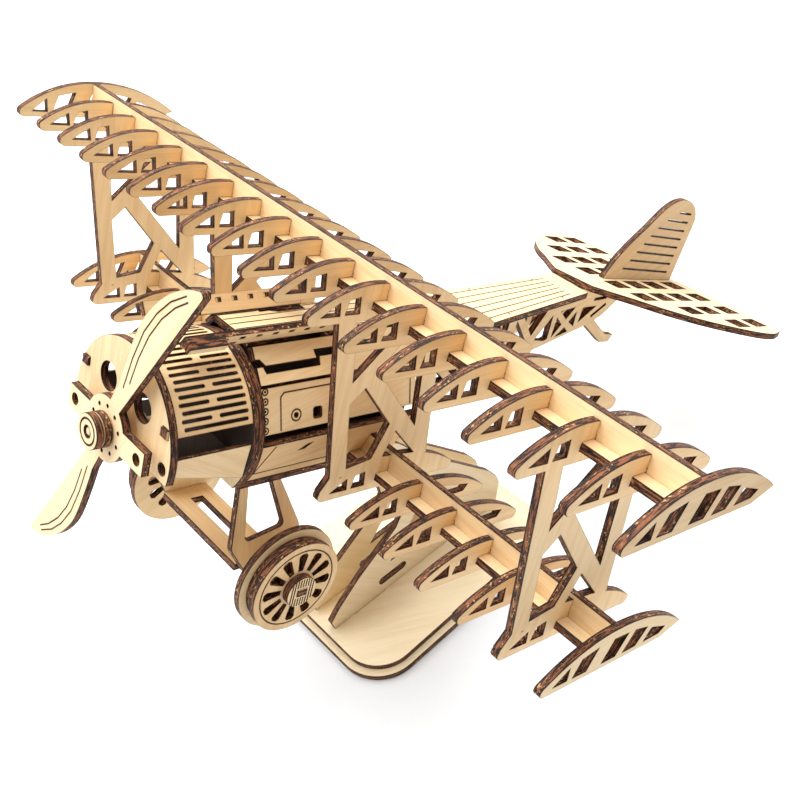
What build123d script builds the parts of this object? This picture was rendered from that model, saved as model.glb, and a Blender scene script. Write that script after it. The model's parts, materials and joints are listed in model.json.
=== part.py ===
from build123d import *
import math
import os

# Biplane scale model built from laser-cut plywood boards, held nose-up on a display stand.
# World frame: +Z up, the nose toward -Y, the port wing toward +X, origin at the centre of the stand's
# underside.  The aircraft has its own frame, AIR, pitched nose-up about X: x = port, y = aft, z = up.

# ---- driving dimensions, millimetres ----
T = 2.0  # plywood thickness
PITCH = 12.5  # spacing of the wing ribs
LAYER_GAP = 0.03  # glue line between stacked boards
FIT = 0.05  # clearance on each side of a board in its slot
GROOVE_W = 0.35  # width of an engraved line
GROOVE_D = 0.2  # depth of an engraved line
NOSE_UP = 27.0  # pitch of the aircraft on its stand, degrees
AIR_Y = -9.0  # aircraft frame origin, in the world frame
AIR_Z = 136.0

# wings: the reference point of a rib is the top of its spar slot's front side
CHORD_NOSE = 22.2  # rib nose ahead of the spar
RIB_BOTTOM = -8.5
SPAR_TOP = 1.8
SPAR_BOTTOM = -6.0
LAP_Z = -3.0  # where the half-lap slots of rib and spar meet
STRIP_W = 4.0
STRIP_TOP = -4.0
CENTRE_RIB = 10
STRUT_RIBS = {3: "starboard_outer", 8: "starboard_inner", 12: "port_inner", 17: "port_outer"}
UPPER_TIP = 9  # tip rib, in pitches from the centre
LOWER_TIP = 8
STAGGER = 16.0  # lower wing behind the upper
WING_GAP = 50.0  # lower wing below the upper

# nose and fuselage
AXIS_Z = -43.0  # propeller axis
COWL_R = 20.5
PLATE_R = 20.8
NOSE_Y = -47.5  # front face of the nose plate
COWL_Y0 = -45.5
COWL_ARC = 69.0  # half angle of the bent sheet, from the top
COWL_T = 1.0
COWL_FLOOR_Z = -46.3
COWL_FLOOR_W = 27.0
SLAT_STEP = 5.0  # angle between slot rows
SLAT_ROWS = 13  # rows on each side of the top one
SLAT_W = 0.85
RING_Y = -25.5  # front face of the firewall rings
RING_BOTTOM = -55.4
BODY_Y0 = -21.4  # front end of the body panels
BODY_Y1 = 29.0
FORMER_Y = (-19.5, 3.0, 25.5)
DECK_Z = -21.1
DECK_HALF = 6.8
BELLY_Z = -56.05
BELLY_HALF = 14.3
RAIL_Y0 = -40.5
RAIL_TOP = (10.1, -17.6)
RAIL_BOTTOM = (7.75, -20.95)
RAIL_Y1 = 4.0
RAIL_T = 1.5
RAIL_FRONT_T = 2.0  # extra layer outside the rail's front end
RAIL_FRONT_Y1 = -30.5

# tail
TRUSS_Y0 = 27.8
TRUSS_X0 = 10.2  # outer face of the truss board at TRUSS_Y0
TRUSS_TAPER = 0.0675
REAR_DECK_Y0 = 30.0
REAR_DECK_Y1 = 107.1
REAR_DECK_SLOPE = 0.07
TAIL_Y = 121.7  # reference point on the tailplane's top face
TAIL_Z = -20.5
TAIL_DROP = 5.7  # tailplane incidence, degrees, leading edge high
TAIL_ROLL = 3.0  # tailplane's lean, degrees, port side high
TAIL_FRONT = 107.2  # where the rear deck meets the tailplane

# propeller
PROP_Y = -51.5  # front face of the propeller board
PROP_R = 52.5
PROP_ANGLE = 59.5  # blade direction above the port side, degrees
HUB_R = 8.0
CAP_R = 4.3
SHAFT_R = 0.9
RUN = 0.08  # running clearance, radial

# landing gear
AXLE_Y = -10.0
AXLE_Z = -80.3
WHEEL_R = 14.6
RING_R = 12.4  # middle ring, recessed between the two discs
RING_IN = 10.8
WHEEL_X = 23.9  # inner face of the port wheel
DISC_R = 13.0
SLOTS = 12
BUSH_R = 2.9
HUB_CAP_R = 4.4
AXLE_W = 3.0
AXLE_HALF = 32.4
BOARD_HALF = 16.9
BUSH_X = 20.8  # inner end of the port bush

# stand, in its own side view: x aft from the uprights' front foot, y up from the top plate
FOOT_Y = -36.0  # world y of the front foot
PLATE_TOP = 2 * T
UPRIGHT_X = 4.9  # middle plane of each upright
UPRIGHT_TOP = -58.4  # aircraft z of the uprights' top edge
TONGUE = (14.0, 24.0)  # aircraft y of each upright's tongue, inside the belly's slot
TONGUE_TOP = -56.4
TAB = 12.0  # length of an upright's tab in the base
TAB_Y = (14.0, 54.0)  # tab centres behind the front foot

AIR = Plane(
    origin=(0, AIR_Y, AIR_Z),
    x_dir=(1, 0, 0),
    z_dir=(0, math.sin(math.radians(NOSE_UP)), math.cos(math.radians(NOSE_UP))),
)


def air(x, y, z):
    """A point of the aircraft frame, in the world frame."""
    return AIR.from_local_coords(Vector(x, y, z))


def side_plane(x):
    """Fore-and-aft plane at x: local x runs aft, local y up, normal to port."""
    return Plane(origin=air(x, 0, 0), x_dir=AIR.y_dir, z_dir=AIR.x_dir)


def cross_plane(y):
    """Plane across the aircraft at y: local x to port, local y up, normal forward."""
    return Plane(origin=air(0, y, 0), x_dir=AIR.x_dir, z_dir=-AIR.y_dir)


def level_plane(z):
    """Plane across the aircraft at height z: local x to port, local y aft, normal up."""
    return Plane(origin=air(0, 0, z), x_dir=AIR.x_dir, z_dir=AIR.z_dir)


def panel_plane(side, top, bottom):
    """Outer face of an inclined panel: local x runs aft, local y up the panel from its bottom edge.

    top and bottom are (x, z) of the port panel's edges; side is +1 for port, -1 for starboard.
    The normal always leans to port, so inward is -side along it.
    """
    low = air(side * bottom[0], 0, bottom[1])
    high = air(side * top[0], 0, top[1])
    up = (high - low).normalized()
    return Plane(origin=low, x_dir=AIR.y_dir, z_dir=AIR.y_dir.cross(up))


def write(part, label):
    part.label = label
    os.makedirs("parts", exist_ok=True)
    export_step(part, f"parts/{label}.step")


def outline(*points, mode=Mode.ADD):
    """Straight-sided outline through the points."""
    Polygon(*points, align=None, mode=mode)


def groove(*points):
    """Engraved line through the points."""
    for a, b in zip(points, points[1:]):
        angle = math.degrees(math.atan2(b[1] - a[1], b[0] - a[0]))
        with Locations(((a[0] + b[0]) / 2, (a[1] + b[1]) / 2)):
            SlotOverall(math.dist(a, b) + GROOVE_W, GROOVE_W, rotation=angle)


def ring_groove(radius):
    """Engraved circle."""
    Circle(radius + GROOVE_W / 2)
    Circle(radius - GROOVE_W / 2, mode=Mode.SUBTRACT)


# ---- wings ----
def airfoil(y, z):
    """Rib outline about the reference point (y, z)."""
    nose = y - CHORD_NOSE
    with BuildLine() as line:
        ThreePointArc((nose + 1.5, z + RIB_BOTTOM), (nose + 0.1, z - 7.6), (nose + 0.1, z - 5.9))
        ThreePointArc((nose + 0.1, z - 5.9), (nose + 9.2, z - 1.1), (y, z + 0.1))
        ThreePointArc((y, z + 0.1), (y + 13.0, z - 1.2), (y + 24.2, z - 6.0))
        ThreePointArc((y + 24.2, z - 6.0), (y + 24.6, z - 7.4), (y + 22.6, z + RIB_BOTTOM))
        Line((y + 22.6, z + RIB_BOTTOM), (nose + 1.5, z + RIB_BOTTOM))
    make_face(line.edges())


def tip_airfoil(y, z):
    """Fuller outline of a tip rib, with a longer straight tail."""
    nose = y - CHORD_NOSE
    with BuildLine() as line:
        ThreePointArc((nose + 1.0, z + RIB_BOTTOM), (nose, z - 7.4), (nose + 0.5, z - 5.9))
        ThreePointArc((nose + 0.5, z - 5.9), (nose + 9.5, z - 0.7), (y, z + 1.9))
        ThreePointArc((y, z + 1.9), (y + 14.8, z + 0.3), (y + 28.7, z - 5.9))
        Line((y + 28.7, z - 5.9), (y + 21.5, z + RIB_BOTTOM))
        Line((y + 21.5, z + RIB_BOTTOM), (nose + 1.0, z + RIB_BOTTOM))
    make_face(line.edges())


def front_windows(y, z):
    """Triangle and parallelogram ahead of the spar."""
    with Locations((y, z)):
        outline((-18.9, -6.5), (-13.1, -6.7), (-13.8, -3.2), mode=Mode.SUBTRACT)
        outline((-11.8, -6.6), (-7.3, -6.7), (-8.0, -2.4), (-11.2, -3.0), mode=Mode.SUBTRACT)


def rear_window(y, z):
    """Long wedge behind the spar."""
    with Locations((y, z)):
        outline((6.0, -6.5), (16.8, -6.3), (17.9, -4.4), (7.2, -2.6), mode=Mode.SUBTRACT)


def tip_windows(y, z):
    """Five leaning windows of a tip rib."""
    with Locations((y, z)):
        outline((-18.6, -6.9), (-13.6, -7.0), (-14.2, -3.0), mode=Mode.SUBTRACT)
        outline((-12.0, -7.0), (-7.0, -7.1), (-5.2, -1.0), (-10.6, -2.2), mode=Mode.SUBTRACT)
        outline((-1.8, -7.1), (3.4, -7.1), (5.6, -1.0), (0.2, -0.8), mode=Mode.SUBTRACT)
        outline((6.0, -7.1), (11.0, -7.0), (13.4, -2.2), (8.2, -1.2), mode=Mode.SUBTRACT)
        outline((14.0, -7.0), (20.2, -6.8), (22.0, -5.2), (15.4, -3.2), mode=Mode.SUBTRACT)


def rib_slots(y, z, height=10.0):
    """Half-lap slot for the spar and closed slot for the front strip."""
    with Locations((y + T / 2, z + LAP_Z + height / 2)):
        Rectangle(T + 2 * FIT, height, mode=Mode.SUBTRACT)
    with Locations((y - STRIP_W / 2, z + STRIP_TOP - T / 2)):
        Rectangle(STRIP_W + 2 * FIT, T + 2 * FIT, mode=Mode.SUBTRACT)


def rib_x(index):
    return (index - CENTRE_RIB) * PITCH


def wing_ribs(label, indices, y, z):
    """Ordinary ribs of one wing bay."""
    with BuildPart() as ribs:
        for index in indices:
            with BuildSketch(side_plane(rib_x(index) - T / 2)):
                airfoil(y, z)
                front_windows(y, z)
                rear_window(y, z)
                rib_slots(y, z)
            extrude(amount=T)
    write(ribs.part, label)


def tip_rib(label, x, y, z):
    """Windowed end rib, closing the spar's end from outside."""
    with BuildPart() as rib:
        with BuildSketch(side_plane(x - T / 2)):
            tip_airfoil(y, z)
            tip_windows(y, z)
        extrude(amount=T)
    write(rib.part, label)


def spar(label, half, indices, y, z):
    """Spar board with half-lap slots cut up from its bottom edge."""
    with BuildPart() as board:
        with BuildSketch(cross_plane(y)):
            with Locations((0, z + (SPAR_TOP + SPAR_BOTTOM) / 2)):
                Rectangle(2 * half, SPAR_TOP - SPAR_BOTTOM)
            with Locations([(rib_x(index), z + LAP_Z - 5.0) for index in indices]):
                Rectangle(T + 2 * FIT, 10.0, mode=Mode.SUBTRACT)
        extrude(amount=-T)
    write(board.part, label)


def front_strip(label, half, y, z):
    """Flat strip through the ribs, against the spar's front face."""
    with BuildPart() as strip:
        with BuildSketch(level_plane(z + STRIP_TOP)):
            with Locations((0, y - STRIP_W / 2)):
                Rectangle(2 * half, STRIP_W)
        extrude(amount=-T)
    write(strip.part, label)


def strut_board(label, x):
    """One board: upper rib, lower rib and the bracing between them."""
    y2 = STAGGER
    z2 = -WING_GAP
    with BuildPart() as board:
        with BuildSketch(side_plane(x - T / 2)):
            airfoil(0, 0)
            airfoil(y2, z2)
            outline((-13.0, -8.0), (-3.8, -52.3), (29.0, -51.0), (20.6, -8.0))
            outline((-3.2, -50.5), (-6.2, -55.5), (-5.5, -57.2), (2.0, -54.0))
            outline((-7.5, -8.6), (11.2, -8.6), (-4.2, -25.0), (-5.5, -17.5), mode=Mode.SUBTRACT)
            outline((15.8, -8.6), (18.6, -23.1), (21.7, -41.6), (3.2, -22.6), (14.2, -10.8),
                    mode=Mode.SUBTRACT)
            outline((-3.3, -31.0), (0.6, -27.0), (12.2, -39.2), (8.8, -48.8), (0.8, -50.0),
                    mode=Mode.SUBTRACT)
            outline((15.0, -41.6), (24.2, -50.1), (12.6, -48.9), mode=Mode.SUBTRACT)
            outline((20.5, -8.55), (40.0, -8.55), (40.0, -49.0), (28.6, -49.0), (23.6, -22.3),
                    mode=Mode.SUBTRACT)
            front_windows(0, 0)
            front_windows(y2, z2)
            rear_window(0, 0)
            rib_slots(0, 0)
            rib_slots(y2, z2, SPAR_TOP - LAP_Z + FIT)
        extrude(amount=T)
    write(board.part, label)


upper_half = UPPER_TIP * PITCH - T / 2
lower_half = LOWER_TIP * PITCH - T / 2
upper_indices = range(CENTRE_RIB - UPPER_TIP + 1, CENTRE_RIB + UPPER_TIP)
lower_indices = [i for i in range(3, 18) if i not in (9, 10, 11)]

spar("upper_wing_spar", upper_half, upper_indices, 0, 0)
front_strip("upper_wing_front_strip", upper_half, 0, 0)
spar("lower_wing_spar", lower_half, lower_indices, STAGGER, -WING_GAP)
front_strip("lower_wing_front_strip", lower_half, STAGGER, -WING_GAP)

wing_ribs("upper_wing_starboard_end_bay_rib", (2,), 0, 0)
wing_ribs("upper_wing_starboard_ribs", (4, 5, 6, 7), 0, 0)
wing_ribs("upper_wing_centre_ribs", (9, 10, 11), 0, 0)
wing_ribs("upper_wing_port_ribs", (13, 14, 15, 16), 0, 0)
wing_ribs("upper_wing_port_end_bay_rib", (18,), 0, 0)
wing_ribs("lower_wing_starboard_ribs", (4, 5, 6, 7), STAGGER, -WING_GAP)
wing_ribs("lower_wing_port_ribs", (13, 14, 15, 16), STAGGER, -WING_GAP)
for number, place in STRUT_RIBS.items():
    strut_board(f"{place}_strut_board", rib_x(number))
for side, name in ((1, "port"), (-1, "starboard")):
    tip_rib(f"upper_wing_{name}_tip_rib", side * UPPER_TIP * PITCH, 0, 0)
    tip_rib(f"lower_wing_{name}_tip_rib", side * LOWER_TIP * PITCH, STAGGER, -WING_GAP)

# ---- nose and cowl ----
with BuildPart() as nose_plate:
    with BuildSketch(cross_plane(NOSE_Y)):
        with Locations((0, AXIS_Z)):
            Circle(PLATE_R)
        with Locations((0, AXIS_Z - 4.0 - 10.0)):
            Rectangle(3 * PLATE_R, 20.0, mode=Mode.SUBTRACT)
        with Locations((-7.5, -34.2), (7.5, -34.2)):
            Circle(3.5, mode=Mode.SUBTRACT)
        with Locations((-18.0, -43.8), (18.0, -43.8)):
            Circle(1.5, mode=Mode.SUBTRACT)
        with Locations((-17.3, -34.9), (17.3, -34.9)):
            Rectangle(2.7, 2.3, mode=Mode.SUBTRACT)
        with Locations((0, AXIS_Z)):
            Circle(SHAFT_R + RUN, mode=Mode.SUBTRACT)
    extrude(amount=-T)
write(nose_plate.part, "nose_plate")

with BuildPart() as cowl:
    with BuildSketch(cross_plane(COWL_Y0)):
        with Locations((0, AXIS_Z)):
            Circle(COWL_R)
            Circle(COWL_R - COWL_T, mode=Mode.SUBTRACT)
        outline((0, AXIS_Z), (40.0, AXIS_Z + 40.0 / math.tan(math.radians(COWL_ARC))), (40.0, -90.0),
                (-40.0, -90.0), (-40.0, AXIS_Z + 40.0 / math.tan(math.radians(COWL_ARC))), mode=Mode.SUBTRACT)
    extrude(amount=COWL_Y0 - RING_Y)
    for row in range(-SLAT_ROWS, SLAT_ROWS + 1):
        angle = math.radians(row * SLAT_STEP)
        spot = air(COWL_R * math.sin(angle), 0, AXIS_Z + COWL_R * math.cos(angle))
        normal = (spot - air(0, 0, AXIS_Z)).normalized()
        with BuildSketch(Plane(origin=spot, x_dir=AIR.y_dir, z_dir=normal)):
            if row % 2:
                with Locations((-35.15, 0)):
                    SlotOverall(17.0, SLAT_W)
            else:
                with Locations((-40.15, 0), (-30.35, 0)):
                    SlotOverall(7.8, SLAT_W)
        extrude(amount=-3.0, both=True, mode=Mode.SUBTRACT)
    with BuildSketch(cross_plane(COWL_Y0)):
        for side in (-1, 1):
            with Locations((side * 17.3, -34.9)):
                Rectangle(2.5, 2.1)
    extrude(amount=T + 0.6)
write(cowl.part, "cowl_louvre_sheet")

for side, name in ((1, "port"), (-1, "starboard")):
    with BuildPart() as cowl_side:
        plane = panel_plane(side, (20.3, -40.6), (19.4, -50.4))
        with BuildSketch(plane):
            outline((-45.4, 4.8), (-25.6, 0.0), (-25.6, 9.8), (-45.4, 9.8))
        extrude(amount=-side * 1.0)
    write(cowl_side.part, f"{name}_lower_cowl_panel")

with BuildPart() as cowl_floor:
    with BuildSketch(level_plane(COWL_FLOOR_Z)):
        with Locations((0, (COWL_Y0 + RING_Y) / 2)):
            Rectangle(COWL_FLOOR_W, RING_Y - COWL_Y0 - 0.2)
    extrude(amount=-T)
write(cowl_floor.part, "cowl_floor_panel")

with BuildPart() as rings:
    for layer in (0, 1):
        with BuildSketch(cross_plane(RING_Y + layer * T)):
            with Locations((0, AXIS_Z)):
                Circle(COWL_R if layer == 0 else COWL_R - 0.5)
            outline((-30.0, RING_BOTTOM), (30.0, RING_BOTTOM), (30.0, -80.0), (-30.0, -80.0),
                    mode=Mode.SUBTRACT)
        extrude(amount=LAYER_GAP - T)
write(rings.part, "firewall_rings")

# ---- forward fuselage ----
SHOULDER = ((8.0, -21.2), (14.5, -29.3))
SIDE = ((14.0, -29.2), (18.0, -40.9))
LOWER = ((19.0, -43.5), (14.4, -55.95))

with BuildPart() as deck:
    with BuildSketch(level_plane(DECK_Z)):
        with Locations((0, (BODY_Y0 + BODY_Y1) / 2)):
            Rectangle(2 * DECK_HALF, BODY_Y1 - BODY_Y0)
        for s in (-1, 1):
            outline((s * 8.0, -9.4), (s * 5.4, -9.4), (s * 5.4, -6.6), (s * 4.3, -4.4), (s * 4.3, 4.0),
                    (s * 8.0, 4.0), mode=Mode.SUBTRACT)
    extrude(amount=-T)
    with BuildSketch(level_plane(DECK_Z)):
        for x in (-3.9, -1.3, 1.3, 3.9):
            groove((x, BODY_Y0 + 0.4), (x, BODY_Y1 - 0.4))
        for x in (-6.2, 6.2):
            groove((x, BODY_Y0 + 0.4), (x, -9.8))
            groove((x, 4.4), (x, BODY_Y1 - 0.4))
    extrude(amount=-GROOVE_D, mode=Mode.SUBTRACT)
write(deck.part, "front_deck")

for side, name in ((1, "port"), (-1, "starboard")):
    with BuildPart() as rail:
        with BuildSketch(panel_plane(side, RAIL_TOP, RAIL_BOTTOM)):
            outline((RAIL_Y0, 0.9), (RING_Y - 0.4, 0.9), (RING_Y - 0.4, -0.5), (RAIL_Y1, -0.5),
                    (RAIL_Y1, 4.1), (RAIL_Y0, 4.1))
            with Locations([(RAIL_Y0 + 6.0 + 4.7 * i, 2.6) for i in range(8)]):
                Rectangle(1.5, 1.1, mode=Mode.SUBTRACT)
        extrude(amount=-side * RAIL_T)
        with BuildSketch(panel_plane(side, RAIL_TOP, RAIL_BOTTOM)):
            outline((RAIL_Y0, 2.0), (RAIL_FRONT_Y1, 2.0), (RAIL_FRONT_Y1, 4.1), (RAIL_Y0, 4.1))
        extrude(amount=side * RAIL_FRONT_T)
    write(rail.part, f"{name}_cockpit_rail")

    with BuildPart() as shoulder:
        with BuildSketch(panel_plane(side, *SHOULDER)):
            outline((BODY_Y0, 0.0), (BODY_Y1, 0.0), (BODY_Y1, 9.4), (BODY_Y0, 9.4))
            outline((-19.0, 2.7), (-3.0, 2.7), (-2.6, 4.9), (2.6, 4.9), (2.6, 6.6), (-3.9, 6.6),
                    (-3.5, 4.5), (-18.8, 4.5), (-20.2, 6.2), (BODY_Y0 - 1.0, 6.2), (BODY_Y0 - 1.0, 4.4),
                    (-19.6, 4.4), mode=Mode.SUBTRACT)
        extrude(amount=-side * T)
    write(shoulder.part, f"{name}_shoulder_panel")

    with BuildPart() as panel:
        plane = panel_plane(side, *SIDE)
        with BuildSketch(plane):
            outline((BODY_Y0, 0.0), (BODY_Y1, 0.0), (BODY_Y1, 11.3), (BODY_Y0, 11.3))
            with Locations((-4.2, 3.2)):
                RectangleRounded(2.8, 3.0, 0.7, mode=Mode.SUBTRACT)
            with Locations((16.0, 5.2)):
                Circle(1.5, mode=Mode.SUBTRACT)
            with Locations((-10.8, 3.6)):
                Circle(0.7, mode=Mode.SUBTRACT)
            with Locations([(BODY_Y0 + 1.5, 1.1 + 2.35 * i) for i in range(5)]):
                Circle(0.3, mode=Mode.SUBTRACT)
        extrude(amount=-side * T)
        with BuildSketch(plane):
            with Locations((-10.8, 3.6)):
                ring_groove(1.4)
            with Locations([(BODY_Y0 + 1.5, 1.1 + 2.35 * i) for i in range(5)]):
                ring_groove(0.75)
            groove((-15.4, 0.6), (-15.4, 8.6), (-14.4, 9.6), (BODY_Y1 - 3.0, 9.6), (BODY_Y1 - 2.0, 8.6),
                   (BODY_Y1 - 2.0, 0.6))
        extrude(amount=-side * GROOVE_D, mode=Mode.SUBTRACT)
    write(panel.part, f"{name}_side_panel")

    with BuildPart() as lower:
        plane = panel_plane(side, *LOWER)
        with BuildSketch(plane):
            outline((BODY_Y0, 0.0), (BODY_Y1, 0.0), (BODY_Y1, 13.2), (BODY_Y0, 13.2))
            outline((-8.4, 8.7), (-6.4, 10.8), (-4.4, 11.2), (-6.2, 9.0), mode=Mode.SUBTRACT)
            with Locations((STAGGER + T / 2, 0)):
                Rectangle(T + 4 * FIT, 17.4, mode=Mode.SUBTRACT)
            with Locations((STAGGER - STRIP_W / 2, 0)):
                Rectangle(STRIP_W + 2 * FIT, 4.8, mode=Mode.SUBTRACT)
        extrude(amount=-side * T)
        with BuildSketch(plane):
            groove((-19.0, 2.6), (-16.6, 12.6))
            groove((-19.0, 2.6), (10.0, 2.6))
        extrude(amount=-side * GROOVE_D, mode=Mode.SUBTRACT)
    write(lower.part, f"{name}_lower_side_panel")

with BuildPart() as belly:
    with BuildSketch(level_plane(BELLY_Z)):
        with Locations((0, (BODY_Y0 + BODY_Y1) / 2)):
            Rectangle(2 * BELLY_HALF, BODY_Y1 - BODY_Y0)
        with Locations([(s * UPRIGHT_X, (TONGUE[0] + TONGUE[1]) / 2) for s in (-1, 1)]):
            Rectangle(T + 0.2, TONGUE[1] - TONGUE[0] + 0.2, mode=Mode.SUBTRACT)
    extrude(amount=-T)
write(belly.part, "belly_panel")

FORMER = ((6.35, -23.15), (12.0, -29.5), (16.1, -42.3), (16.1, -44.6), (12.4, -54.2), (12.2, -56.0))
with BuildPart() as formers:
    for y in FORMER_Y:
        with BuildSketch(cross_plane(y)):
            outline(*FORMER, *[(-x, z) for x, z in reversed(FORMER)])
        extrude(amount=-T)
write(formers.part, "fuselage_formers")

# ---- tail ----
def rear_deck_z(y):
    return -26.5 + REAR_DECK_SLOPE * (y - REAR_DECK_Y0)


def rear_deck_half(y):
    return 7.75 - 0.076 * (y - 100.0)


deck_rise = math.degrees(math.atan(REAR_DECK_SLOPE))
rear_deck_plane = Plane(
    origin=air(0, REAR_DECK_Y0, rear_deck_z(REAR_DECK_Y0)),
    x_dir=AIR.x_dir,
    z_dir=AIR.z_dir * math.cos(math.radians(deck_rise)) - AIR.y_dir * math.sin(math.radians(deck_rise)),
)
deck_length = (REAR_DECK_Y1 - REAR_DECK_Y0) / math.cos(math.radians(deck_rise))
with BuildPart() as rear_deck:
    w0 = rear_deck_half(REAR_DECK_Y0)
    w1 = rear_deck_half(REAR_DECK_Y1)
    with BuildSketch(rear_deck_plane):
        outline((-w0, 0), (w0, 0), (w1, deck_length), (-w1, deck_length))
    extrude(amount=-T)
    with BuildSketch(rear_deck_plane):
        for share in (-0.78, -0.47, -0.16, 0.16, 0.47, 0.78):
            groove((share * w0, 0.5), (share * w1, deck_length - 7.0))
        for along in (14.0, 40.0, 66.0):
            for x in (-1.0, 1.0):
                with Locations((x * (w0 - (w0 - w1) * along / deck_length - 1.6), along)):
                    Circle(0.35)
    extrude(amount=-GROOVE_D, mode=Mode.SUBTRACT)
write(rear_deck.part, "rear_deck")

TAIL_TOP = TAIL_Z - T / math.cos(math.radians(TAIL_DROP)) - 0.02


def tailplane_under(y, side):
    """Height of the tailplane's lower face over the port or starboard truss."""
    lean = math.tan(math.radians(TAIL_ROLL)) * (1.6 if side > 0 else -4.9)
    return TAIL_TOP + lean - math.tan(math.radians(TAIL_DROP)) * (y - TAIL_Y)


def deck_under(y):
    return rear_deck_z(y) - T / math.cos(math.radians(deck_rise)) - 0.06


for side, name in ((1, "port"), (-1, "starboard")):
    aft = (AIR.y_dir - AIR.x_dir * (side * TRUSS_TAPER)).normalized()
    outward = aft.cross(AIR.z_dir)
    with BuildPart() as truss:
        with BuildSketch(Plane(origin=air(side * TRUSS_X0, TRUSS_Y0, 0), x_dir=aft, z_dir=outward)):
            with Locations((-TRUSS_Y0, 0)):
                outline((TRUSS_Y0, -48.0), (30.0, -48.0), (88.0, -39.7), (107.0, -36.6), (117.5, -34.8),
                        (125.0, -32.4), (132.0, -27.6), (131.6, tailplane_under(131.6, side)),
                        (TAIL_FRONT, tailplane_under(TAIL_FRONT, side)), (TAIL_FRONT, deck_under(TAIL_FRONT)),
                        (TRUSS_Y0, deck_under(TRUSS_Y0)))
                # long bays forward, braced by diagonals
                outline((36.0, -43.6), (36.0, -31.2), (49.0, -41.8), mode=Mode.SUBTRACT)
                outline((39.4, -30.6), (53.6, -29.5), (53.6, -39.8), (51.8, -40.6), mode=Mode.SUBTRACT)
                outline((57.4, -40.6), (57.4, -30.0), (69.0, -38.8), mode=Mode.SUBTRACT)
                outline((60.6, -28.7), (73.2, -27.7), (73.2, -37.6), mode=Mode.SUBTRACT)
                outline((77.0, -37.8), (77.0, -27.6), (85.4, -36.5), mode=Mode.SUBTRACT)
                outline((80.4, -27.2), (91.6, -26.4), (86.6, -34.0), mode=Mode.SUBTRACT)
                outline((89.2, -35.9), (95.6, -28.4), (96.2, -36.6), (94.6, -37.0), mode=Mode.SUBTRACT)
                # crossed bay
                outline((99.2, -27.6), (107.0, -27.2), (103.6, -30.9), mode=Mode.SUBTRACT)
                outline((98.2, -29.5), (101.9, -32.5), (98.2, -36.6), mode=Mode.SUBTRACT)
                outline((100.0, -36.6), (104.2, -33.8), (106.6, -35.6), mode=Mode.SUBTRACT)
                outline((108.6, -28.9), (109.2, -34.2), (105.6, -32.1), mode=Mode.SUBTRACT)
                # aft bays
                outline((111.6, -28.0), (119.4, -28.4), (111.3, -33.2), mode=Mode.SUBTRACT)
                outline((117.6, -31.6), (118.4, -32.4), (125.4, -28.8), (124.6, -28.0), mode=Mode.SUBTRACT)
                outline((116.6, -26.3), (117.0, -25.3), (124.6, -25.4), (124.0, -26.4), mode=Mode.SUBTRACT)
        extrude(amount=-side * T)
    write(truss.part, f"{name}_tail_truss")

tail_x = AIR.x_dir * math.cos(math.radians(TAIL_ROLL)) + AIR.z_dir * math.sin(math.radians(TAIL_ROLL))
tail_aft = AIR.y_dir * math.cos(math.radians(TAIL_DROP)) - AIR.z_dir * math.sin(math.radians(TAIL_DROP))
tail_plane = Plane(origin=air(0, TAIL_Y, TAIL_Z), x_dir=tail_x, z_dir=tail_x.cross(tail_aft))
TAIL_EDGE = ((7.6, -14.2), (13.5, -9.8), (19.0, -5.4), (25.0, -1.2), (30.0, 3.2), (34.4, 8.0), (38.4, 13.4),
             (42.1, 19.6), (45.6, 26.8), (46.9, 35.2))
TAIL_WINDOWS = (
    (2.8, 9.2, (-1.8, 9.1, 20.1, 31.9)),
    (13.3, 19.6, (-1.6, 9.0, 19.9, 31.8)),
    (24.5, 30.6, (9.3, 20.0, 31.9)),
    (35.2, 41.2, (21.0, 32.1)),
)
TAIL_WINDOW = 7.8  # fore-and-aft length of a window
with BuildPart() as tailplane:
    with BuildSketch(tail_plane):
        with BuildLine() as rim:
            for s in (-1, 1):
                Spline(*[(s * x, y) for x, y in TAIL_EDGE])
                Line((s * 46.9, 35.2), (s * 45.2, 41.2))
            Line((-TAIL_EDGE[0][0], TAIL_EDGE[0][1]), TAIL_EDGE[0])
            ThreePointArc((-45.2, 41.2), (0, 45.2), (45.2, 41.2))
        make_face(rim.edges())
        for x0, x1, starts in TAIL_WINDOWS:
            middle = (x0 + x1) / 2
            with Locations([(s * middle, start + TAIL_WINDOW / 2) for s in (-1, 1) for start in starts]):
                Rectangle(x1 - x0, TAIL_WINDOW, mode=Mode.SUBTRACT)
        with Locations((0, 22.0)):
            Rectangle(T + 2 * FIT + 2 * T * math.tan(math.radians(TAIL_ROLL)), 12.0, mode=Mode.SUBTRACT)
    extrude(amount=-T)
write(tailplane.part, "tailplane")

FIN_SLOTS = (131.5, 134.2, 136.5, 138.9, 141.4, 144.1, 148.2, 153.8)  # front ends, from the bottom up
with BuildPart() as fin:
    with BuildSketch(side_plane(-T / 2)):
        with BuildLine() as rim:
            Spline((122.4, -20.45), (131.0, -9.4), (138.6, -3.1), (146.2, 3.2), (153.9, 5.2), (161.8, 2.4),
                   (165.1, -2.6))
            Line((165.1, -2.6), (163.1, -24.5))
            Line((163.1, -24.5), (122.4, -20.45))
        make_face(rim.edges())
        outline((137.75, -21.6), (149.35, -22.8), (149.35, -25.1), (137.75, -23.95))
        for row, y0 in enumerate(FIN_SLOTS):
            y1 = 159.3 + 0.27 * row
            z1 = -21.2 + 3.0 * row
            z0 = z1 + 0.128 * (y1 - y0)
            with Locations(((y0 + y1) / 2, (z0 + z1) / 2)):
                SlotOverall(math.dist((y0, z0), (y1, z1)), 0.6, mode=Mode.SUBTRACT,
                            rotation=math.degrees(math.atan2(z1 - z0, y1 - y0)))
    extrude(amount=T)
write(fin.part, "fin")

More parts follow.
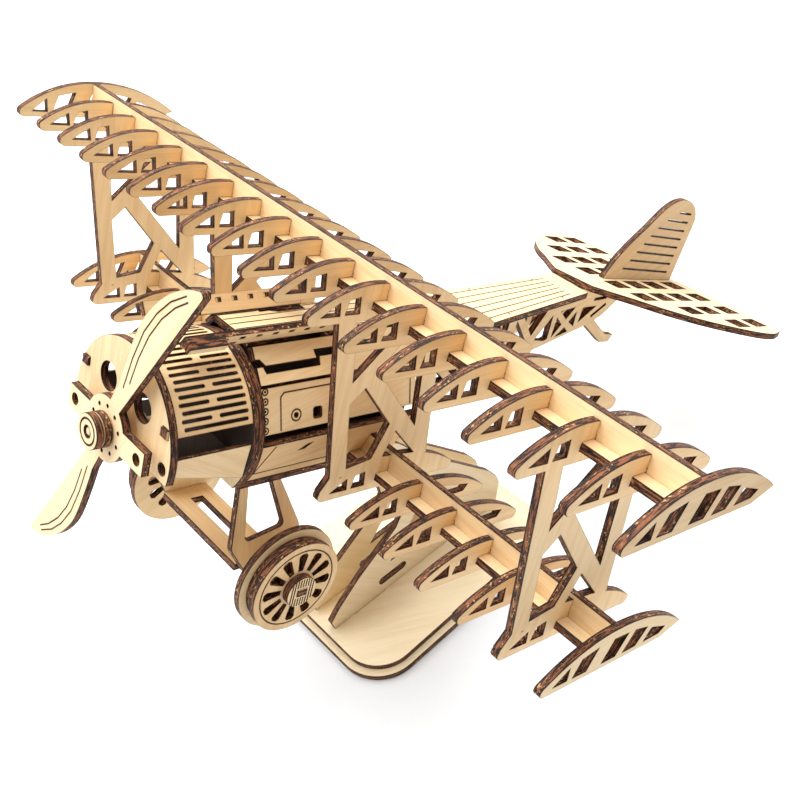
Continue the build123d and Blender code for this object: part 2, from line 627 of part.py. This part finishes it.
with BuildPart() as skid:
    with BuildSketch(side_plane(-T / 2)):
        outline((112.0, -24.0), (128.0, -26.0), (127.0, -31.0), (126.0, -36.0), (134.6, -41.8),
                (139.8, -42.8), (138.2, -45.4), (133.2, -45.0), (120.5, -36.8), (112.0, -33.0))
    extrude(amount=T)
write(skid.part, "tail_skid")

# ---- propeller ----
BLADE_EDGE = ((12.5, 4.0), (18.3, 5.8), (23.9, 7.3), (30.0, 8.5), (36.0, 8.4), (42.0, 7.2), (48.9, 4.1))


def spin_plane(angle):
    """Front face of the propeller board, local x turned by the angle from the port side."""
    a = math.radians(angle)
    return Plane(
        origin=air(0, PROP_Y, AXIS_Z),
        x_dir=AIR.x_dir * math.cos(a) + AIR.z_dir * math.sin(a),
        z_dir=-AIR.y_dir,
    )


with BuildPart() as propeller:
    for turn in (0, 180):
        with BuildSketch(spin_plane(PROP_ANGLE + turn)):
            with BuildLine() as rim:
                Line((0, -0.8), (PROP_R, -0.8))
                ThreePointArc((PROP_R, -0.8), (PROP_R + 0.7, 0.0), (PROP_R + 0.3, 1.0))
                Spline((PROP_R + 0.3, 1.0), *reversed(BLADE_EDGE))
                Line(BLADE_EDGE[0], (0, 2.6))
                Line((0, 2.6), (0, -0.8))
            make_face(rim.edges())
        extrude(amount=-T)
    with BuildSketch(spin_plane(0)):
        Circle(HUB_R)
        Rectangle(33.0, 6.0)
    extrude(amount=-T)
    with BuildSketch(spin_plane(0)):
        with Locations((-13.8, 0), (13.8, 0)):
            Circle(1.5)
        with PolarLocations(5.8, 10, start_angle=18):
            Circle(0.5)
        Circle(SHAFT_R + 0.02)
    extrude(amount=-T, mode=Mode.SUBTRACT)
    for turn in (0, 180):
        with BuildSketch(spin_plane(PROP_ANGLE + turn)):
            groove((14.0, 2.4), (22.0, 4.9), (30.0, 6.5), (37.0, 6.4), (43.0, 5.2), (48.5, 2.8))
            groove((17.0, 1.6), (24.0, 3.6), (31.0, 4.7), (37.5, 4.6), (43.5, 3.4), (48.0, 1.6))
        extrude(amount=-GROOVE_D, mode=Mode.SUBTRACT)
write(propeller.part, "propeller")

with BuildPart() as hub_discs:
    for front in (PROP_Y - 2 * T - 0.3, PROP_Y - T - 0.15, PROP_Y + T + 0.02):
        with BuildSketch(cross_plane(front)):
            with Locations((0, AXIS_Z)):
                Circle(CAP_R)
                Circle(SHAFT_R + 0.02, mode=Mode.SUBTRACT)
        extrude(amount=-(T - 0.15))
    with BuildSketch(cross_plane(PROP_Y - 2 * T - 0.3)):
        with Locations((0, AXIS_Z)):
            Circle(1.5)
    extrude(amount=-0.8, mode=Mode.SUBTRACT)
    with BuildSketch(cross_plane(PROP_Y - 2 * T - 0.3)):
        with Locations((0, AXIS_Z)):
            ring_groove(3.1)
    extrude(amount=-GROOVE_D, mode=Mode.SUBTRACT)
write(hub_discs.part, "propeller_hub_discs")

with BuildPart() as shaft:
    with BuildSketch(cross_plane(PROP_Y - 2 * T - 0.1)):
        with Locations((0, AXIS_Z)):
            Circle(SHAFT_R)
    extrude(amount=-17.0)
    with BuildSketch(cross_plane(NOSE_Y + 2 * T + 0.3)):
        with Locations((0, AXIS_Z)):
            Circle(2.4)
    extrude(amount=-1.5)
write(shaft.part, "propeller_shaft")

# ---- landing gear ----
V_FACE = ((12.95, -57.6), (20.34, -84.0))  # outer face of the port plate
v_scale = math.dist(*V_FACE) / (V_FACE[0][1] - V_FACE[1][1])


def v_point(y, z):
    """Point of a V plate's face, from the aircraft's y and z."""
    return (y, (z - V_FACE[1][1]) * v_scale)


for side, name in ((1, "port"), (-1, "starboard")):
    with BuildPart() as v_plate:
        with BuildSketch(panel_plane(side, *V_FACE)) as sk:
            outline(v_point(-20.2, BELLY_Z - T - 0.02), v_point(-22.6, -74.0), v_point(-18.2, -80.8),
                    v_point(-10.0, -85.0), v_point(-4.0, -80.6), v_point(-1.2, -72.0),
                    v_point(-8.0, BELLY_Z - T - 0.02))
            fillet(sk.vertices().sort_by(Axis.Y)[:5], 2.5)
            with BuildSketch(mode=Mode.SUBTRACT) as window:
                outline(v_point(-17.0, -50.0), v_point(-18.6, -72.8), v_point(-6.3, -71.0),
                        v_point(-13.4, -50.0))
                fillet(window.vertices().sort_by(Axis.Y)[:2], 1.3)
        extrude(amount=-side * T)
        with BuildSketch(side_plane(0)):
            with Locations((AXLE_Y, AXLE_Z)):
                Rectangle(AXLE_W + 2 * FIT, T + 2 * FIT)
        extrude(amount=side * 40.0, mode=Mode.SUBTRACT)
    write(v_plate.part, f"{name}_landing_gear_plate")

with BuildPart() as axle:
    with BuildSketch(level_plane(AXLE_Z + T / 2)):
        with Locations((0, -13.3)):
            Rectangle(2 * BOARD_HALF, 13.4)
        with Locations((0, AXLE_Y)):
            Rectangle(2 * AXLE_HALF, AXLE_W)
        with Locations((0, -12.8)):
            Rectangle(23.6, 3.6, mode=Mode.SUBTRACT)
    extrude(amount=-T)
write(axle.part, "axle_board")

def wheel_plane(side, x):
    """Plane of a wheel at distance x from the middle, normal outboard."""
    return Plane(origin=air(side * x, AXLE_Y, AXLE_Z), x_dir=AIR.y_dir * side, z_dir=AIR.x_dir * side)


def spoke_slots():
    """Ring of wedge-shaped slots between the spokes."""
    with PolarLocations(0, SLOTS):
        outline((5.1, -0.7), (9.6, -1.35), (10.35, -0.7), (10.35, 0.7), (9.6, 1.35), (5.1, 0.7),
                mode=Mode.SUBTRACT)


disc_x = WHEEL_X + 2 * T
cap_x = disc_x + T + 0.15
for side, name in ((1, "port"), (-1, "starboard")):
    with BuildPart() as tyre:
        with BuildSketch(wheel_plane(side, WHEEL_X)):
            Circle(WHEEL_R)
            Circle(BUSH_R + RUN, mode=Mode.SUBTRACT)
            spoke_slots()
        extrude(amount=T - LAYER_GAP)
        with BuildSketch(wheel_plane(side, WHEEL_X + T)):
            Circle(RING_R)
            Circle(RING_IN, mode=Mode.SUBTRACT)
        extrude(amount=T - LAYER_GAP)
    write(tyre.part, f"{name}_tyre_rings")

    with BuildPart() as disc:
        with BuildSketch(wheel_plane(side, disc_x)):
            Circle(DISC_R)
            Circle(BUSH_R + RUN, mode=Mode.SUBTRACT)
            spoke_slots()
        extrude(amount=T)
        with BuildSketch(wheel_plane(side, disc_x + T)):
            ring_groove(11.1)
        extrude(amount=-GROOVE_D, mode=Mode.SUBTRACT)
    write(disc.part, f"{name}_spoked_disc")

    with BuildPart() as bush:
        with BuildSketch(wheel_plane(side, BUSH_X)):
            Circle(BUSH_R)
        extrude(amount=disc_x + T + 0.1 - BUSH_X)
        with BuildSketch(wheel_plane(side, disc_x - 0.15)):
            Circle(HUB_CAP_R)
        extrude(amount=0.3 - T)
        with BuildSketch(wheel_plane(side, BUSH_X)):
            Rectangle(AXLE_W + 2 * FIT, T + 2 * FIT)
        extrude(amount=20.0, mode=Mode.SUBTRACT)
    write(bush.part, f"{name}_hub_bush")

    with BuildPart() as hub_cap:
        with BuildSketch(wheel_plane(side, cap_x)):
            Circle(HUB_CAP_R)
            Rectangle(AXLE_W + 2 * FIT, T + 2 * FIT, mode=Mode.SUBTRACT)
        extrude(amount=T)
        with BuildSketch(wheel_plane(side, cap_x + T)):
            with Locations([(x, 0) for x in (-2.4, 2.4)]):
                Rectangle(GROOVE_W, 7.4)
            with Locations([(x, 0) for x in (-3.2, 3.2)]):
                Rectangle(GROOVE_W, 6.2)
            for x in (-1.6, -0.8, 0.0, 0.8, 1.6):
                with Locations((x, 2.8), (x, -2.8)):
                    Rectangle(GROOVE_W, 2.4)
        extrude(amount=-GROOVE_D, mode=Mode.SUBTRACT)
    write(hub_cap.part, f"{name}_hub_cap")

# ---- stand ----
def base_plate(label, bottom, front, back, half_front, half_back, radius, slots):
    with BuildPart() as plate:
        with BuildSketch(Plane.XY.offset(bottom)) as sk:
            outline((-half_front, front), (half_front, front), (half_back, back), (-half_back, back))
            fillet(sk.vertices(), radius)
            if slots:
                with Locations([(s * UPRIGHT_X, FOOT_Y + y) for s in (-1, 1) for y in slots]):
                    Rectangle(T + 2 * FIT, TAB + 2 * FIT, mode=Mode.SUBTRACT)
        extrude(amount=T)
    write(plate.part, label)


base_plate("base_lower_plate", 0, -41.2, 41.2, 31.2, 28.2, 13.8, ())
base_plate("base_upper_plate", T, -38.9, 38.9, 29.0, 26.0, 12.2, TAB_Y)


def on_stand(y, z):
    """Side-view point of the stand for an aircraft y and z."""
    p = air(0, y, z)
    return (p.Y - FOOT_Y, p.Z - PLATE_TOP)


for side, name in ((1, "port"), (-1, "starboard")):
    x = side * UPRIGHT_X - T / 2
    with BuildPart() as upright:
        with BuildSketch(Plane(origin=(x, FOOT_Y, PLATE_TOP), x_dir=(0, 1, 0), z_dir=(1, 0, 0))) as sk:
            outline((0.0, 0.0), (-0.8, 3.9), (3.2, 7.8), (12.1, 14.4), (20.6, 19.3), (28.6, 24.0),
                    (32.0, 28.5), (30.8, 40.0), (26.4, 53.0), on_stand(12.6, UPRIGHT_TOP),
                    on_stand(28.4, UPRIGHT_TOP), (35.2, 57.0), (43.5, 44.8), (55.8, 31.2), (67.6, 17.8),
                    (70.6, 12.8), (71.5, 8.8), (69.0, 0.0))
            outline(on_stand(TONGUE[0], UPRIGHT_TOP - 1.0), on_stand(TONGUE[1], UPRIGHT_TOP - 1.0),
                    on_stand(TONGUE[1], TONGUE_TOP), on_stand(TONGUE[0], TONGUE_TOP))
            outline((24.5, 11.3), (40.0, 11.3), (51.5, 19.0), (42.0, 33.5), (37.0, 38.5), (36.6, 24.0),
                    mode=Mode.SUBTRACT)
            with Locations((24.3, 5.2)):
                SlotOverall(11.0, 2.8, mode=Mode.SUBTRACT)
            with Locations([(y, -T / 2) for y in TAB_Y]):
                Rectangle(TAB, T)
        extrude(amount=T)
    write(upright.part, f"{name}_stand_upright")
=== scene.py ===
import bpy
import bmesh
import json
import math
import random
from mathutils import Matrix, Vector

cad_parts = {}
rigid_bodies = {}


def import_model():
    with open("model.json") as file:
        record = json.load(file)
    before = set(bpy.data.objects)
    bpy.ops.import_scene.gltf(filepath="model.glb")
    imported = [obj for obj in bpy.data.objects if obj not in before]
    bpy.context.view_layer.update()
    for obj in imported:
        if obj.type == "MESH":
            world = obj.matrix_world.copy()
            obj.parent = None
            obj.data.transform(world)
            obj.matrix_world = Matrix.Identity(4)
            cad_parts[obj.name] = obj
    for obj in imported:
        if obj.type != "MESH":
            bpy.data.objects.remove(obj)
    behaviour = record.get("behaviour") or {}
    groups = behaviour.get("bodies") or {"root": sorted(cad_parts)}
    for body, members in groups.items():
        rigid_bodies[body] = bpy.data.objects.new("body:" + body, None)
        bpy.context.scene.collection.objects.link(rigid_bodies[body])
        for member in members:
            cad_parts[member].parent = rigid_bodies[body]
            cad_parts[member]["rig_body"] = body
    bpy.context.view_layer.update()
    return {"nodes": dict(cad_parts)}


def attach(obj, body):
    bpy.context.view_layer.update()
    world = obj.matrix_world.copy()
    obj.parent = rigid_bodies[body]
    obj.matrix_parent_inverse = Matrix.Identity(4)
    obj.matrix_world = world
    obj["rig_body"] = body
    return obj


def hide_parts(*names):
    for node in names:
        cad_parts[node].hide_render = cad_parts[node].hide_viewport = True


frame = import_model()
nodes = frame["nodes"]
rng = random.Random(7)

# ---- the aircraft's own frame, pitched nose-up on the stand ----
NOSE_UP = math.radians(27.0)
AIR = Matrix.Translation((0, -0.009, 0.136)) @ Matrix.Rotation(-NOSE_UP, 4, "X")
AXIS = AIR @ Vector((0, 0, -0.043))  # propeller axis
AFT = (AIR.to_3x3() @ Vector((0, 1, 0))).normalized()
UP = (AIR.to_3x3() @ Vector((0, 0, 1))).normalized()


# ---- materials ----
class Tree:
    """Small helper to build a node material."""

    def __init__(self, name):
        self.material = bpy.data.materials.new(name)
        self.material.use_nodes = True
        self.nodes = self.material.node_tree.nodes
        self.links = self.material.node_tree.links
        self.shader = self.nodes["Principled BSDF"]

    def add(self, kind, **values):
        node = self.nodes.new(kind)
        for key, value in values.items():
            setattr(node, key, value)
        return node

    def put(self, socket, value):
        if isinstance(value, bpy.types.NodeSocket):
            self.links.new(value, socket)
        else:
            socket.default_value = value

    def math(self, operation, a, b=0.0, c=None, clamp=False):
        node = self.add("ShaderNodeMath", operation=operation, use_clamp=clamp)
        self.put(node.inputs[0], a)
        self.put(node.inputs[1], b)
        if c is not None:
            self.put(node.inputs[2], c)
        return node.outputs[0]

    def step(self, value, low, high, to_low=0.0, to_high=1.0):
        node = self.add("ShaderNodeMapRange", interpolation_type="SMOOTHSTEP")
        for slot, v in enumerate((value, low, high, to_low, to_high)):
            self.put(node.inputs[slot], v)
        return node.outputs[0]

    def mix(self, factor, a, b):
        node = self.add("ShaderNodeMix", data_type="RGBA")
        self.put(node.inputs[0], factor)
        self.put(node.inputs[6], a)
        self.put(node.inputs[7], b)
        return node.outputs[2]

    def stretched(self, vector, scale, detail=3.0, rough=0.55):
        mul = self.add("ShaderNodeVectorMath", operation="MULTIPLY")
        self.put(mul.inputs[0], vector)
        mul.inputs[1].default_value = scale
        noise = self.add("ShaderNodeTexNoise")
        noise.inputs["Scale"].default_value = 1.0
        noise.inputs["Detail"].default_value = detail
        noise.inputs["Roughness"].default_value = rough
        self.put(noise.inputs["Vector"], mul.outputs[0])
        return noise.outputs["Fac"]

    def attribute(self, name):
        return self.add("ShaderNodeAttribute", attribute_name=name)

    def bump(self, height, distance, strength=1.0):
        node = self.add("ShaderNodeBump")
        node.inputs["Strength"].default_value = strength
        node.inputs["Distance"].default_value = distance
        self.put(node.inputs["Height"], height)
        self.put(self.shader.inputs["Normal"], node.outputs[0])


def veneer(name, light, dark, scorch):
    """Planed face veneer: grain along the board, pores and a smoky scorch near every cut."""
    t = Tree(name)
    board = t.attribute("board").outputs["Vector"]
    tint = t.attribute("tint").outputs["Fac"]
    fine = t.stretched(board, (90.0, 2600.0, 0.0), 4.0, 0.6)
    streak = t.stretched(board, (22.0, 520.0, 0.0), 3.0, 0.5)
    figure = t.stretched(board, (16.0, 90.0, 0.0), 2.0, 0.5)
    pores = t.stretched(board, (420.0, 7000.0, 0.0), 2.0, 0.5)
    tone = t.math("ADD", t.math("MULTIPLY", fine, 0.45), t.math("MULTIPLY", streak, 0.6))
    tone = t.math("ADD", tone, t.math("MULTIPLY", figure, 0.25))
    tone = t.math("ADD", tone, t.math("MULTIPLY", tint, 0.35))
    colour = t.mix(t.step(tone, 0.45, 1.25), light, dark)
    pore = t.step(pores, 0.66, 0.76)
    colour = t.mix(t.math("MULTIPLY", pore, 0.28), colour, (0.36, 0.21, 0.10, 1))
    # laser scorch along every edge, uneven like a real cut
    soft = t.add("ShaderNodeBevel", samples=6)
    soft.inputs["Radius"].default_value = 0.00055
    flat = t.add("ShaderNodeNewGeometry")
    dot = t.add("ShaderNodeVectorMath", operation="DOT_PRODUCT")
    t.put(dot.inputs[0], soft.outputs[0])
    t.put(dot.inputs[1], flat.outputs["True Normal"])
    near = t.math("SUBTRACT", 1.0, dot.outputs["Value"])
    smoke = t.stretched(board, (300.0, 300.0, 0.0), 3.0, 0.6)
    mask = t.math("MULTIPLY", t.step(near, 0.012, 0.22), t.step(smoke, 0.25, 0.7, 0.45, 1.0))
    colour = t.mix(t.math("MULTIPLY", mask, 0.85), colour, scorch)
    t.put(t.shader.inputs["Base Color"], colour)
    t.put(t.shader.inputs["Roughness"], t.step(fine, 0.3, 0.7, 0.52, 0.7))
    t.shader.inputs["Specular IOR Level"].default_value = 0.3
    t.bump(t.math("SUBTRACT", fine, t.math("MULTIPLY", pore, 0.6)), 0.00006, 0.6)
    return t.material


def cut_edge(name, char, brown, gold, share):
    """Laser-burnt edge: charred plies with broken red-brown streaks and a few golden flecks."""
    t = Tree(name)
    board = t.attribute("board").outputs["Vector"]
    depth = t.attribute("depth").outputs["Fac"]
    layer = t.add("ShaderNodeCombineXYZ")
    t.put(layer.inputs[2], t.math("MULTIPLY", depth, 0.002))
    place = t.add("ShaderNodeVectorMath", operation="ADD")
    t.put(place.inputs[0], board)
    t.put(place.inputs[1], layer.outputs[0])
    place = place.outputs[0]
    streak = t.stretched(place, (300.0, 300.0, 3000.0), 4.0, 0.65)
    fleck = t.stretched(place, (1100.0, 1100.0, 2600.0), 3.0, 0.6)
    patch = t.stretched(place, (110.0, 110.0, 500.0), 2.0, 0.5)
    rib = t.stretched(board, (2600.0, 2600.0, 0.0), 1.0, 0.5)
    middle = t.math("ABSOLUTE", t.math("SUBTRACT", depth, 0.5))
    inner = t.step(middle, 0.26, 0.44, 1.0, 0.0)
    warm = t.math("MULTIPLY", t.step(streak, 0.46, 0.58), inner)
    colour = t.mix(warm, char, brown)
    bright = t.math("MULTIPLY", t.step(fleck, 0.62 - share, 0.74 - share), t.step(patch, 0.40, 0.62))
    colour = t.mix(t.math("MULTIPLY", bright, inner), colour, gold)
    t.put(t.shader.inputs["Base Color"], colour)
    t.put(t.shader.inputs["Roughness"], t.step(fleck, 0.3, 0.7, 0.6, 0.85))
    t.shader.inputs["Specular IOR Level"].default_value = 0.3
    t.bump(t.math("ADD", streak, t.math("MULTIPLY", rib, 0.5)), 0.00014, 0.8)
    return t.material


def engraved(name):
    """Floor of a laser-engraved line."""
    t = Tree(name)
    board = t.attribute("board").outputs["Vector"]
    burn = t.stretched(board, (700.0, 700.0, 0.0), 3.0, 0.6)
    t.put(t.shader.inputs["Base Color"], t.mix(burn, (0.045, 0.020, 0.009, 1), (0.13, 0.062, 0.028, 1)))
    t.put(t.shader.inputs["Roughness"], t.step(burn, 0.3, 0.7, 0.7, 0.9))
    t.bump(burn, 0.0001, 0.6)
    return t.material


PLY = veneer("ply_veneer", (0.88, 0.675, 0.405, 1), (0.67, 0.425, 0.20, 1), (0.19, 0.075, 0.025, 1))
STAND_PLY = veneer("stand_veneer", (0.94, 0.80, 0.56, 1), (0.79, 0.58, 0.33, 1), (0.25, 0.11, 0.04, 1))
EDGE = cut_edge("ply_cut_edge", (0.014, 0.005, 0.002, 1), (0.24, 0.080, 0.030, 1),
                (0.66, 0.37, 0.17, 1), 0.07)
STAND_EDGE = cut_edge("stand_cut_edge", (0.05, 0.018, 0.008, 1), (0.22, 0.085, 0.034, 1),
                      (0.62, 0.36, 0.17, 1), 0.06)
RIM = cut_edge("ply_scorched_rim", (0.02, 0.008, 0.004, 1), (0.15, 0.06, 0.022, 1),
               (0.50, 0.28, 0.13, 1), 0.03)
ENGRAVED = engraved("ply_engraving")
# Painted shade: a near-black veneer standing in for the deep shadow inside the fuselage and cowl.
PAINTED_SHADE_VENEER = veneer("painted_shade_inner_veneer", (0.060, 0.034, 0.020, 1), (0.026, 0.014, 0.008, 1),
               (0.02, 0.01, 0.005, 1))
DOWEL = veneer("dowel_wood", (0.74, 0.56, 0.34, 1), (0.52, 0.34, 0.18, 1), (0.20, 0.10, 0.05, 1))

RIM_WIDTH = 0.00011
FACE, CUT, GROOVE, RIM_SLOT, PAINTED_SHADE_SLOT = range(5)  # material indexes of a board
WELD = 2e-6
FLAT_WITHIN = math.radians(0.6)  # facets closer than this become one face
GROOVE_NEAREST = 0.00005  # a groove's floor lies this far or more below the face
GROOVE_DEEPEST = 0.00035


def islands(bm):
    """Connected groups of faces."""
    seen = set()
    for face in bm.faces:
        if face in seen:
            continue
        group = []
        stack = [face]
        seen.add(face)
        while stack:
            f = stack.pop()
            group.append(f)
            for e in f.edges:
                for g in e.link_faces:
                    if g not in seen:
                        seen.add(g)
                        stack.append(g)
        yield group


def broad_normal(faces):
    """Direction of the board's broad faces."""
    piles = {}
    for f in faces:
        n = f.normal
        key = max(range(3), key=lambda i: abs(n[i]))
        n = n if n[key] > 0 else -n
        tag = tuple(round(c, 2) for c in n)
        pile = piles.setdefault(tag, [0.0, Vector()])
        pile[0] += f.calc_area()
        pile[1] += n * f.calc_area()
    best = max(piles.values(), key=lambda p: p[0])
    return best[1].normalized()


def long_axis(faces, normal):
    """Longest direction of the board in its own plane."""
    side = normal.orthogonal().normalized()
    up = normal.cross(side)
    points = {v for f in faces for v in f.verts}
    flat = [(v.co.dot(side), v.co.dot(up)) for v in points]
    best = None
    for turn in range(0, 180, 5):
        c = math.cos(math.radians(turn))
        s = math.sin(math.radians(turn))
        spans = [c * a + s * b for a, b in flat]
        length = max(spans) - min(spans)
        if best is None or length > best[0]:
            best = (length, c, s)
    return (side * best[1] + up * best[2]).normalized()


def make_board(node, grain=None, curved=False, face=PLY, edge=EDGE, rim_look=RIM, inside=None,
               clear=None):
    """A refined piece for a CAD node: scorched rim, faces sorted into veneer, cut edge and engraving.

    inside is the middle of the closed space a skin surrounds; the faces toward it get painted shade, a
    near-black veneer standing in for the dark interior.
    clear is a plane, as a point and a normal; what lies beyond it keeps the plain veneer, without
    painted shade.
    """
    cad = nodes[node]
    bm = bmesh.new()
    bm.from_mesh(cad.data)
    bmesh.ops.remove_doubles(bm, verts=bm.verts, dist=WELD)
    bmesh.ops.dissolve_limit(bm, angle_limit=FLAT_WITHIN, verts=bm.verts, edges=bm.edges)
    if clear:
        everything = bm.verts[:] + bm.edges[:] + bm.faces[:]
        bmesh.ops.bisect_plane(bm, geom=everything, dist=1e-6, plane_co=clear[0], plane_no=clear[1])
    bm.normal_update()
    board = bm.verts.layers.float_vector.new("board")
    depth = bm.verts.layers.float.new("depth")
    tint = bm.verts.layers.float.new("tint")
    for faces in list(islands(bm)):
        shift = Vector((rng.uniform(0, 9), rng.uniform(0, 9), 0))
        shade = rng.random()
        normal = broad_normal(faces)
        along = long_axis(faces, normal) if grain is None else grain
        across = normal.cross(along).normalized()
        verts = {v for f in faces for v in f.verts}

        def thickness(p):
            if curved:
                r = p - AXIS
                return (r - AFT * r.dot(AFT)).length
            return p.dot(normal)

        low = min(thickness(v.co) for v in verts)
        high = max(thickness(v.co) for v in verts)
        for v in verts:
            v[board] = Vector((v.co.dot(along), v.co.dot(across), 0)) + shift
            v[depth] = (thickness(v.co) - low) / max(high - low, 1e-6)
            v[tint] = shade
        for f in faces:
            f.smooth = False
            middle = f.calc_center_median()
            if curved:
                r = middle - AXIS
                face_axis = (r - AFT * r.dot(AFT)).normalized()
            else:
                face_axis = normal
            if abs(f.normal.dot(face_axis)) > 0.85:
                inset = min(thickness(middle) - low, high - thickness(middle))
                engraved_here = GROOVE_NEAREST < inset < GROOVE_DEEPEST and not curved
                f.material_index = GROOVE if engraved_here else FACE
                # Faces turned toward the closed inner space take the painted-shade veneer.
                shade_painted = inside is not None and f.normal.dot(inside - middle) > 0.001
                if shade_painted and not (clear and (middle - clear[0]).dot(clear[1]) > 0):
                    f.material_index = PAINTED_SHADE_SLOT
            else:
                f.material_index = CUT
    mesh = bpy.data.meshes.new(node + "_board")
    bm.to_mesh(mesh)
    bm.free()
    for material in (face, edge, ENGRAVED, rim_look, PAINTED_SHADE_VENEER):  # in the order of the indexes
        mesh.materials.append(material)
    piece = bpy.data.objects.new(node + "_board", mesh)
    bpy.context.scene.collection.objects.link(piece)
    rim = piece.modifiers.new("scorched rim", "BEVEL")
    rim.width = RIM_WIDTH
    rim.segments = 1
    rim.limit_method = "ANGLE"
    rim.angle_limit = math.radians(40)
    rim.material = RIM_SLOT
    rim.miter_outer = "MITER_SHARP"
    rim.use_clamp_overlap = True
    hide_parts(node)
    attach(piece, cad["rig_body"])
    return piece


NOSE_BAY = AIR @ Vector((0, -0.0355, -0.040))
BODY_BAY = AIR @ Vector((0, 0.004, -0.040))
COWL_LIP = AIR @ Vector((0, 0, -0.0500))
BODY_SKINS = ("shoulder_panel", "side_panel", "front_deck", "belly_panel")

for name in sorted(nodes):
    if name == "propeller_shaft":
        make_board(name, face=DOWEL, edge=DOWEL, rim_look=DOWEL)
    elif name == "cowl_louvre_sheet":
        make_board(name, grain=AFT, curved=True, inside=NOSE_BAY)
    # The cowl floor and the formers sit in the dark interior and take the painted-shade veneer whole.
    elif name in ("cowl_floor_panel", "fuselage_formers"):
        make_board(name, face=PAINTED_SHADE_VENEER)
    elif name == "firewall_rings":
        make_board(name, inside=NOSE_BAY, clear=(COWL_LIP, -UP))
    elif name == "nose_plate":
        make_board(name, grain=UP, inside=NOSE_BAY)
    elif name.endswith(("strut_board", "landing_gear_plate")):
        make_board(name, grain=UP)
    elif name.endswith("lower_cowl_panel"):
        make_board(name, inside=NOSE_BAY)
    elif any(skin in name for skin in BODY_SKINS):
        make_board(name, inside=BODY_BAY)
    elif "stand" in name or "base" in name:
        make_board(name, face=STAND_PLY, edge=STAND_EDGE)
    else:
        make_board(name)


# ---- studio ----
def studio_floor():
    """Pale paper sweep: flat floor, rising in a curve behind the model."""
    front, back = -1.6, 1.1
    bend = 0.5
    top = 2.2
    half_width = 2.4
    gap = 0.0002  # under the stand
    steps = 12
    profile = [(front, 0.0), (back, 0.0)]
    for k in range(1, steps + 1):
        a = math.radians(90 * k / steps)
        profile.append((back + bend * math.sin(a), bend - bend * math.cos(a)))
    profile.append((back + bend, top))
    turn = Matrix.Rotation(math.radians(41.0), 4, "Z")
    verts = []
    faces = []
    for x in (-half_width, half_width):
        for y, z in profile:
            verts.append(turn @ Vector((x, y, z - gap)))
    n = len(profile)
    for i in range(n - 1):
        faces.append((i, i + 1, n + i + 1, n + i))
    mesh = bpy.data.meshes.new("paper_sweep")
    mesh.from_pydata(verts, [], faces)
    for p in mesh.polygons:
        p.use_smooth = True
    sweep = bpy.data.objects.new("paper_sweep", mesh)
    bpy.context.scene.collection.objects.link(sweep)
    t = Tree("studio_paper")
    coords = t.add("ShaderNodeTexCoord").outputs["Object"]
    fibre = t.stretched(coords, (900.0, 900.0, 900.0), 3.0, 0.6)
    t.put(t.shader.inputs["Base Color"], t.mix(fibre, (0.82, 0.83, 0.845, 1), (0.85, 0.86, 0.875, 1)))
    t.shader.inputs["Roughness"].default_value = 0.9
    t.bump(fibre, 0.00005, 0.3)
    mesh.materials.append(t.material)


def area_light(name, place, target, size, power, colour):
    data = bpy.data.lights.new(name, "AREA")
    data.shape = "RECTANGLE"
    data.size, data.size_y = size
    data.energy = power
    data.color = colour
    lamp = bpy.data.objects.new(name, data)
    bpy.context.scene.collection.objects.link(lamp)
    lamp.location = place
    lamp.rotation_euler = (Vector(target) - Vector(place)).to_track_quat("-Z", "Y").to_euler()


studio_floor()
world = bpy.data.worlds.new("studio")
bpy.context.scene.world = world
world.use_nodes = True
fill = world.node_tree.nodes["Background"]
fill.inputs["Color"].default_value = (1.0, 0.935, 0.85, 1)
fill.inputs["Strength"].default_value = 0.37
area_light("key", (-0.45, 0.1, 1.35), (0, 0, 0.1), (1.7, 1.7), 58.0, (0.90, 0.95, 1.0))
area_light("front", (-0.8, -1.2, 0.8), (0, 0, 0.1), (1.0, 1.0), 9.0, (0.94, 0.97, 1.0))

# ---- camera ----
camera_data = bpy.data.cameras.new("camera")
camera = bpy.data.objects.new("camera", camera_data)
bpy.context.scene.collection.objects.link(camera)
camera_data.sensor_width = 36.0
camera_data.lens = 49.785
camera_data.clip_start = 0.02
camera_data.clip_end = 20.0
RIGHT = Vector((0.65031, 0.72197, 0.23634))  # in the aircraft's frame
DOWN = Vector((0.48208, -0.15176, -0.86288))
AHEAD = Vector((-0.58711, 0.67507, -0.44674))
turn = Matrix((RIGHT, -DOWN, -AHEAD)).transposed().to_4x4()
camera.matrix_world = AIR @ Matrix.Translation((0.18592, -0.17034, 0.08913)) @ turn
bpy.context.scene.camera = camera
bpy.context.scene.view_settings.view_transform = "Standard"
